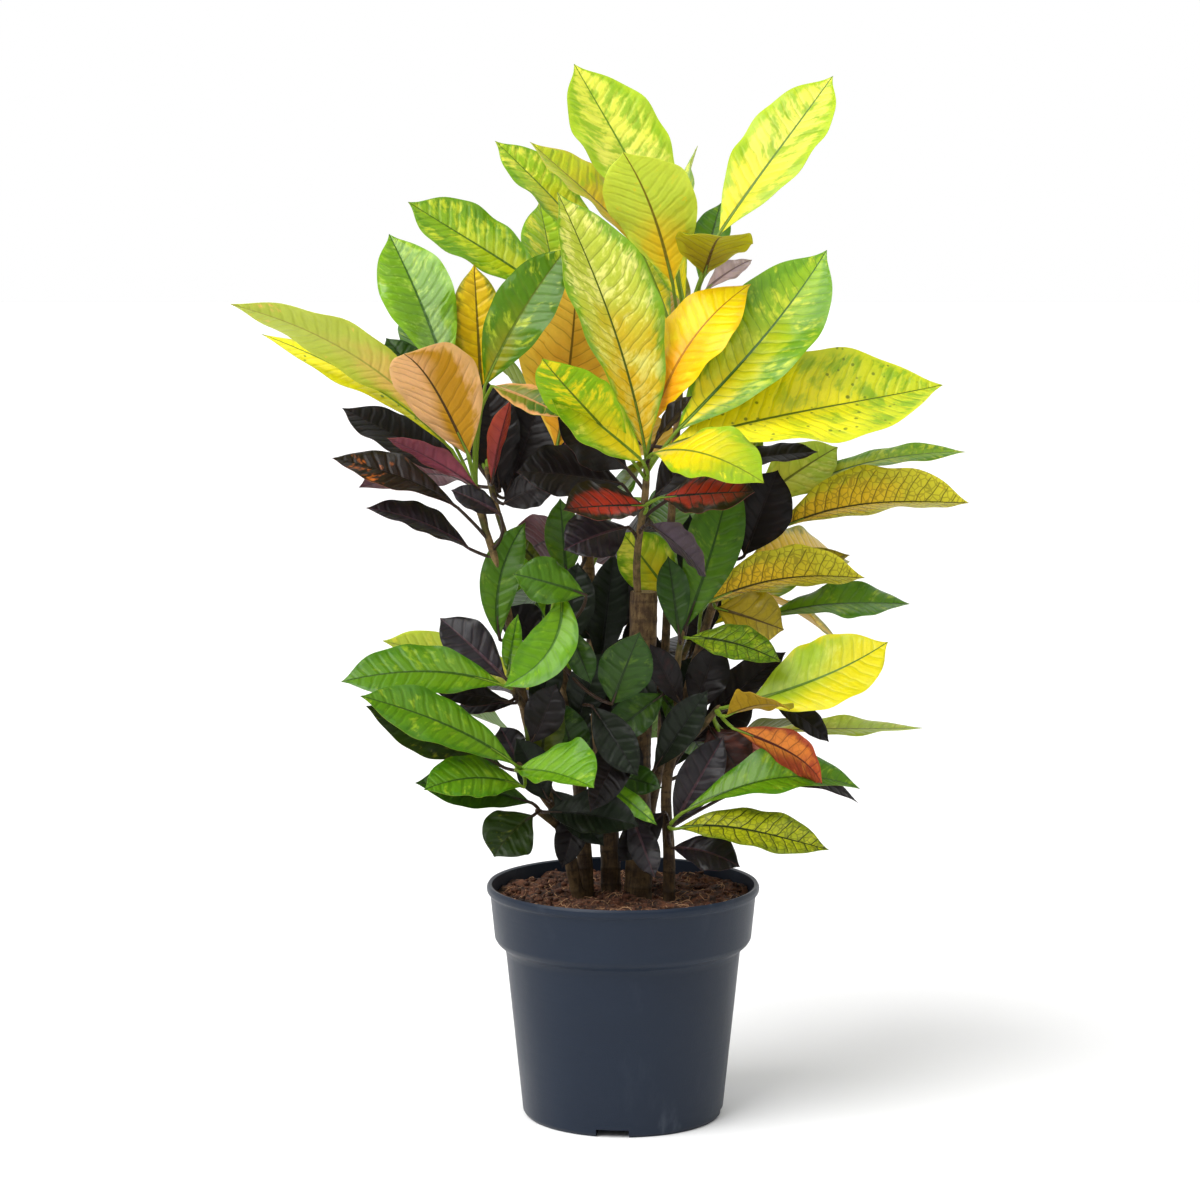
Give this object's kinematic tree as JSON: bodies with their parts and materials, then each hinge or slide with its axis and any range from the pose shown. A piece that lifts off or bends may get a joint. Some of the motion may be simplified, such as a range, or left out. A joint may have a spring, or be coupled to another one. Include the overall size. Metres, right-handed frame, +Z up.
{
  "type": "potted croton",
  "caption": "Potted croton: bushy branching stems with long glossy mottled leaves in lime, yellow, green, gold and dark purple, in a round tapered plastic nursery pot filled with soil",
  "frame": {"origin": "centre of the pot's flat base, on the surface that it stands on", "axes": "+Z up, -Y towards the front, +X to the right seen from the front"},
  "size_m": [0.5609, 0.3936, 0.8108],
  "materials": {
    "pot": "satin dark slate blue",
    "soil": "loose brown peat and coir",
    "foliage": "glossy mottled leaves on woody stems"
  },
  "bodies": {
    "root": {"pot": "pot", "soil": "soil", "plant_left": "foliage", "plant_inner": "foliage", "plant_back": "foliage", "plant_trunk": "foliage", "plant_tall": "foliage", "plant_right": "foliage"}
  },
  "joints": []
}
